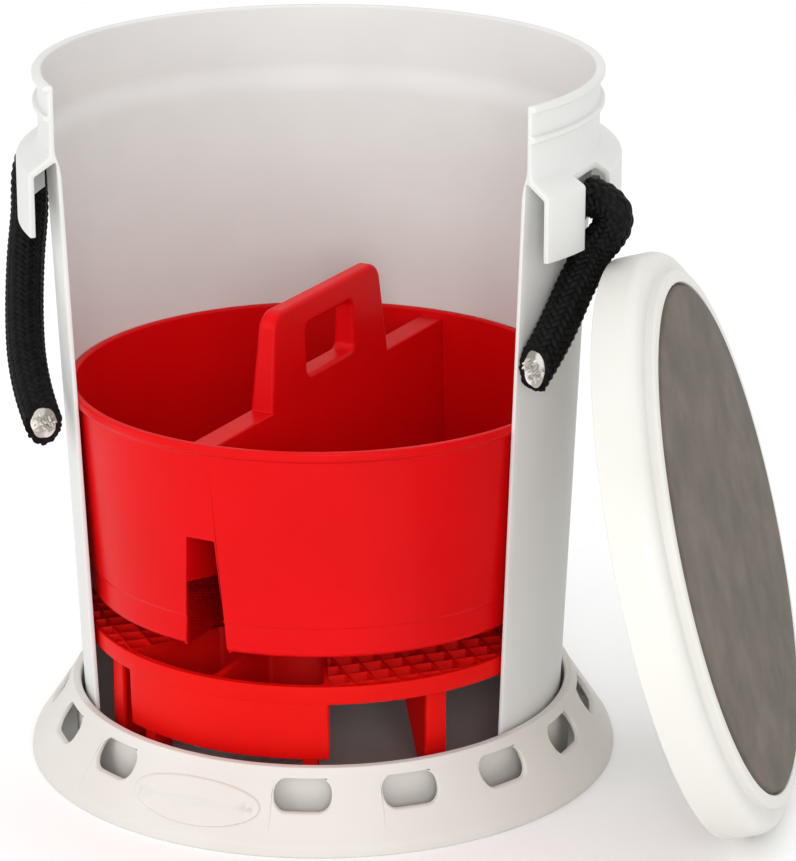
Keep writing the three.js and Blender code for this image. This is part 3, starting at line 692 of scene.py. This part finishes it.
for part_of in (band, bins, *leg_pieces):
    whole_grate.from_mesh(part_of.data)
    bpy.data.objects.remove(part_of)
whole_grate.to_mesh(grate.data)
whole_grate.free()
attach(grate, "grate")
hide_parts("grate")


# ---- Caddy ----
# A lift-out tray in red polypropylene with a fine gloss, injection moulded. A hollow divider splits it, is
# open below and at both ends, and rises in its middle into a carrying handle with a framed finger hole.
CADDY_BOTTOM = 0.0965
DIVIDER_TURN = 117.5
DIVIDER_TOP = 0.2090
GRIP_TOP = 0.2610
GRIP_BLANK = 0.029  # how thick it is before it's cut to its taper
FINGER_HALF = 0.026
FINGER_LOW = 0.2190
FINGER_HIGH = 0.2470
FOOT_HALF = 0.0145
TOP_HALF = 0.0070
DIVIDER_WALL = 0.0022
caddy_red = moulded("caddy_red", (0.66, 0.002, 0.004), (0.59, 0.0015, 0.0025),
                    0.34, 0.09, 420, 0.00007, 0.02)


def body_at(height):
    return 0.12677 + 0.007846 * (height - CADDY_BOTTOM) / 0.116


caddy_profile = [
    (0, 0.0968), (0.1268, 0.0968, 0.0035), (body_at(0.1132) - 0.0007, 0.1132, 0.0004),
    (body_at(0.1146), 0.1146, 0.0005), (body_at(0.2065), 0.2065, 0.0012), (0.13641, 0.2080, 0.0010),
    (0.13641, 0.2125, 0.0013), (0.13222, 0.2125, 0.0013), (body_at(0.1019) - 0.0024, 0.1019, 0.003),
    (0.1215, 0.0991, 0.002), (0, 0.0991),
]
caddy = piece("caddy_moulding", turned(caddy_profile), caddy_red)
turn_to_divider = Matrix.Rotation(-math.radians(DIVIDER_TURN), 3, "Z")


def ridge(outline, reach):
    # A cross section of points across and up, run along the divider to both sides.
    return pushed([turn_to_divider @ Vector((-reach, y, z)) for y, z in outline],
                  turn_to_divider @ Vector((2 * reach, 0, 0)))


RIDGE_REACH = 0.16  # past the wall on both sides
slope = (FOOT_HALF - TOP_HALF) / (DIVIDER_TOP - CADDY_BOTTOM)


def under_half(height):
    return FOOT_HALF - DIVIDER_WALL - slope * (height - CADDY_BOTTOM)


divider = piece("divider", ridge([
    (-FOOT_HALF, CADDY_BOTTOM), (FOOT_HALF, CADDY_BOTTOM),
    (TOP_HALF, DIVIDER_TOP), (-TOP_HALF, DIVIDER_TOP)], RIDGE_REACH), caddy_red)
rounded_edges(divider, 0.0012)
joined_by(divider, "INTERSECT", cutter(turned([
    (0, 0.09), (body_at(0.09) - 0.0012, 0.09), (body_at(0.22) - 0.0012, 0.22), (0, 0.22)], 96)))
joined_by(caddy, "UNION", divider)

grip_mesh = bmesh.new()
outline = [(-0.066, 0.2050), (0.066, 0.2050), (0.058, GRIP_TOP), (-0.058, GRIP_TOP)]
face = grip_mesh.faces.new([grip_mesh.verts.new((x, -GRIP_BLANK / 2, z)) for x, z in outline])
bmesh.ops.bevel(grip_mesh, geom=[v for v in face.verts if v.co.z > 0.25], offset=0.009,
                offset_type="OFFSET", segments=8, profile=0.5, affect="VERTICES", material=-1)
raised(grip_mesh, (0, GRIP_BLANK, 0))
bmesh.ops.rotate(grip_mesh, cent=(0, 0, 0), matrix=turn_to_divider, verts=grip_mesh.verts[:])
bmesh.ops.recalc_face_normals(grip_mesh, faces=grip_mesh.faces[:])
grip = piece("grip", grip_mesh, caddy_red)
joined_by(grip, "INTERSECT", cutter(ridge([
    (-0.0074, 0.20), (0.0074, 0.20), (0.00475, GRIP_TOP + 0.001), (-0.00475, GRIP_TOP + 0.001)], 0.1)))
spot = [(x, -0.02, z) for x, z in ((-FINGER_HALF, FINGER_LOW), (FINGER_HALF, FINGER_LOW),
                                   (FINGER_HALF, FINGER_HIGH), (-FINGER_HALF, FINGER_HIGH))]
outline = [turn_to_divider @ Vector(p) for p in spot]
hole = pushed(outline, turn_to_divider @ Vector((0, 0.04, 0)), 0.004)
joined_by(grip, "DIFFERENCE", cutter(hole))
rounded_edges(grip, 0.0024, segments=4, angle=45)
joined_by(caddy, "UNION", grip)

slot_top = CADDY_BOTTOM + 0.0625
low = CADDY_BOTTOM - 0.002
joined_by(caddy, "DIFFERENCE", cutter(ridge([
    (-under_half(low), low), (under_half(low), low), (under_half(slot_top), slot_top),
    (-under_half(slot_top), slot_top)], RIDGE_REACH)))
under_top = DIVIDER_TOP - DIVIDER_WALL
hollow = piece("hollow", ridge([
    (-under_half(low), low), (under_half(low), low), (under_half(under_top), under_top),
    (-under_half(under_top), under_top)], RIDGE_REACH), caddy_red)
joined_by(hollow, "INTERSECT", cutter(turned([
    (0, 0.09), (body_at(0.09) - 0.0024, 0.09), (body_at(0.2125) - 0.0024, 0.2125), (0, 0.2125)], 96)))
joined_by(caddy, "DIFFERENCE", hollow)
rounded_edges(caddy, 0.0006, segments=2, level=True)
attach(caddy, "caddy")
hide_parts("caddy")


# ---- Seat lid ----
# A snap-on seat lid in white polyethylene with a big round shoulder and a raised ring round its pad. It
# stands on its edge beside the bucket and leans towards it. A grey rubber gasket lies inside its corner.
LID_LEAN = math.radians(15.4)
LID_TURN = 12
LID_RADIUS = 0.1535
LID_TUCK = 0.0189
LID_SHIFT = 0.3556  # sideways, as a share of the collar's radius
COLLAR_RADIUS = 0.16
facing = around(LID_TURN, math.cos(LID_LEAN), math.sin(LID_LEAN))
lid_place = around(
    LID_TURN, COLLAR_RADIUS + 2 * ROPE_RADIUS + LID_RADIUS * math.sin(LID_LEAN) - LID_TUCK)
lid_place += around(LID_TURN + 90, LID_SHIFT * COLLAR_RADIUS, LID_RADIUS * math.cos(LID_LEAN))
lean_lid = Vector((0, 0, 1)).rotation_difference(facing).to_matrix().to_4x4()
stand_lid = Matrix.Translation(lid_place) @ lean_lid
lid_profile = [
    (0, 0.0218), (0.1493, 0.0218, 0.003), (0.1511, 0.0168, 0.002), (0.1511, 0, 0.0006),
    (LID_RADIUS, 0, 0.0008), (LID_RADIUS, 0.0195, 0.0035), (0.1500, 0.0244, 0.004),
    (0.1419, 0.0244, 0.0009), (0.1416, 0.0296, 0.0018), (0.1348, 0.0296, 0.0010), (0.1348, 0.0244),
    (0, 0.0244),
]
lid_white = moulded("lid_white", (0.70, 0.69, 0.65), (0.67, 0.66, 0.615), 0.38, 0.3, 600, 0.00008, 0.05)
lid_mesh = turned(lid_profile)
bmesh.ops.transform(lid_mesh, matrix=stand_lid, verts=lid_mesh.verts[:])
lid = piece("lid_moulding", lid_mesh, lid_white, 40)
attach(lid, "lid")
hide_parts("lid_shell")

gasket_rubber, tree, shader = new_finish("gasket_rubber")
shader.inputs["Base Color"].default_value = (0.042, 0.042, 0.043, 1)
place = tree.nodes.new("ShaderNodeTexCoord")
bloom = tree.nodes.new("ShaderNodeTexNoise")
bloom.inputs["Scale"].default_value = 260
bloom.inputs["Detail"].default_value = 6
polish = tree.nodes.new("ShaderNodeMapRange")
polish.inputs["To Min"].default_value = 0.62
polish.inputs["To Max"].default_value = 0.88
tree.links.new(place.outputs["Object"], bloom.inputs["Vector"])
tree.links.new(bloom.outputs["Fac"], polish.inputs["Value"])
tree.links.new(polish.outputs["Result"], shader.inputs["Roughness"])
gasket_mesh = turned([
    (0.1445, 0.0185, 0.0012), (0.1471, 0.0185, 0.0012),
    (0.1471, 0.0215, 0.0003), (0.1445, 0.0215, 0.0003)])
bmesh.ops.transform(gasket_mesh, matrix=stand_lid, verts=gasket_mesh.verts[:])
gasket = piece("lid_gasket_ring", gasket_mesh, gasket_rubber)
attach(gasket, "lid")
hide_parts("lid_gasket")


# ---- Seat pad ----
# A disc of closed-cell foam with a short grey nap, 268 mm across and 6 mm thick, stuck inside the lid's
# ring. Its top is crowned by its own springiness and its edge is rolled in where the ring holds it.
PAD_RADIUS = 0.1338
PAD_LOW = 0.0247
PAD_HIGH = 0.0305
PAD_CROWN = 0.0011  # the most that the foam rises
PAD_ROLL = 0.0011  # how far its edge is rolled down
FRAMES = 20
pad_mesh = bmesh.new()
bmesh.ops.create_circle(pad_mesh, cap_ends=True, segments=128, radius=PAD_RADIUS)
rings = pad_mesh.faces[:]
for width in (0.0012, 0.0030, 0.006, 0.010, 0.016, 0.020, 0.024, 0.022, 0.018):
    bmesh.ops.inset_region(pad_mesh, faces=rings, thickness=width, use_boundary=True)
bmesh.ops.poke(pad_mesh, faces=rings)
raised(pad_mesh, (0, 0, PAD_HIGH - PAD_LOW))
bmesh.ops.translate(pad_mesh, vec=(0, 0, PAD_LOW), verts=pad_mesh.verts[:])
side_edges = [e for e in pad_mesh.edges if abs(e.verts[0].co.z - e.verts[1].co.z) > 0.001]
bmesh.ops.subdivide_edges(pad_mesh, edges=side_edges, cuts=2, use_grid_fill=True)
bmesh.ops.recalc_face_normals(pad_mesh, faces=pad_mesh.faces[:])
for vert in pad_mesh.verts:
    if vert.co.z > PAD_HIGH - 0.0005 and vert.co.xy.length > PAD_RADIUS - 0.0005:
        vert.co.xy *= 0.9935
        vert.co.z -= PAD_ROLL

pad_grey, tree, shader = new_finish("pad_grey")
shader.inputs["Roughness"].default_value = 0.95
shader.inputs["Specular IOR Level"].default_value = 0.15
shader.inputs["Sheen Weight"].default_value = 0.06
place = tree.nodes.new("ShaderNodeTexCoord")
wear = tree.nodes.new("ShaderNodeTexNoise")
wear.inputs["Scale"].default_value = 34
wear.inputs["Detail"].default_value = 9
wear.inputs["Roughness"].default_value = 0.62
tones = tree.nodes.new("ShaderNodeValToRGB")
tones.color_ramp.elements[0].position = 0.32
tones.color_ramp.elements[0].color = (0.105, 0.088, 0.072, 1)
tones.color_ramp.elements[1].position = 0.68
tones.color_ramp.elements[1].color = (0.155, 0.130, 0.108, 1)
nap = tree.nodes.new("ShaderNodeTexNoise")
nap.inputs["Scale"].default_value = 1100
nap.inputs["Detail"].default_value = 6
rise = tree.nodes.new("ShaderNodeBump")
rise.inputs["Strength"].default_value = 0.7
rise.inputs["Distance"].default_value = 0.0004
for texture in (wear, nap):
    tree.links.new(place.outputs["Object"], texture.inputs["Vector"])
tree.links.new(wear.outputs["Fac"], tones.inputs["Fac"])
tree.links.new(tones.outputs["Color"], shader.inputs["Base Color"])
tree.links.new(nap.outputs["Fac"], rise.inputs["Height"])
tree.links.new(rise.outputs["Normal"], shader.inputs["Normal"])

seat = piece("seat_pad_foam", pad_mesh, pad_grey, 60)
before = np.array([v.co for v in seat.data.vertices])
held = seat.vertex_groups.new(name="stuck")
for vert in seat.data.vertices:
    if vert.co.z < PAD_LOW + 0.0005 or vert.co.xy.length > PAD_RADIUS - 0.003:
        held.add([vert.index], 1.0, "REPLACE")
foam = seat.modifiers.new("foam", "CLOTH")
foam.settings.quality = 6
foam.settings.use_pressure = True
foam.settings.uniform_pressure_force = 4
foam.settings.vertex_group_mass = "stuck"
foam.settings.tension_stiffness = 40
foam.settings.compression_stiffness = 40
foam.settings.bending_stiffness = 8
foam.settings.effector_weights.gravity = 0
foam.point_cache.frame_start = 1
foam.point_cache.frame_end = FRAMES
for number in range(1, FRAMES + 1):
    bpy.context.scene.frame_set(number)
seen = seat.evaluated_get(bpy.context.evaluated_depsgraph_get())
after = np.array([v.co for v in seen.data.vertices])
shift = after - before
far = np.linalg.norm(shift, axis=1)[:, None]
shift *= np.minimum(1, PAD_CROWN / np.maximum(far, 1e-9))
seat.modifiers.clear()
seat.vertex_groups.clear()
seat.data.vertices.foreach_set("co", (before + shift).astype(np.float32).ravel())
bpy.context.scene.frame_set(1)
leaned = bmesh.new()
leaned.from_mesh(seat.data)
bmesh.ops.transform(leaned, matrix=stand_lid, verts=leaned.verts[:])
leaned.to_mesh(seat.data)
leaned.free()
round_off = seat.modifiers.new("round_off", "SUBSURF")
round_off.levels = 1
round_off.render_levels = 1
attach(seat, "lid")
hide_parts("seat_pad")


# ---- Floor and light ----
# A pale studio floor, a broad soft light from the left, one from the front that reaches in under
# the grate, and a weak one above and behind.
floor_white, tree, shader = new_finish("floor_white")
shader.inputs["Roughness"].default_value = 0.9
place = tree.nodes.new("ShaderNodeTexCoord")
paper = tree.nodes.new("ShaderNodeTexNoise")
paper.inputs["Scale"].default_value = 3
tones = tree.nodes.new("ShaderNodeValToRGB")
tones.color_ramp.elements[0].color = (0.95, 0.95, 0.95, 1)
tones.color_ramp.elements[1].color = (0.97, 0.97, 0.97, 1)
tree.links.new(place.outputs["Object"], paper.inputs["Vector"])
tree.links.new(paper.outputs["Fac"], tones.inputs["Fac"])
tree.links.new(tones.outputs["Color"], shader.inputs["Base Color"])
floor_mesh = bmesh.new()
bmesh.ops.create_grid(floor_mesh, x_segments=2, y_segments=2, size=5)
floor = piece("floor", floor_mesh, floor_white)

for name, place_of, size, power, colour in (
    ("light_left", (-1.7, -1.2, 1.2), 1.2, 8, (1, 1, 1)),
    ("light_front", (0.15, -2.1, 0.80), 0.8, 13, (1, 1, 1)),
    ("light_top", (0.5, 0.9, 2.2), 1.6, 5, (1, 1, 1)),
):
    lamp = bpy.data.lights.new(name, "AREA")
    lamp.shape = "DISK"
    lamp.size = size
    lamp.energy = power
    lamp.color = colour
    lamp_object = bpy.data.objects.new(name, lamp)
    lamp_object.location = place_of
    toward = Vector((0.05, -0.02, 0.18)) - Vector(place_of)
    lamp_object.rotation_euler = toward.to_track_quat("-Z", "Y").to_euler()
    bpy.context.scene.collection.objects.link(lamp_object)

world = bpy.data.worlds.new("studio")
world.use_nodes = True
world.node_tree.nodes["Background"].inputs["Color"].default_value = (1, 1, 1, 1)
world.node_tree.nodes["Background"].inputs["Strength"].default_value = 0.97
bpy.context.scene.world = world
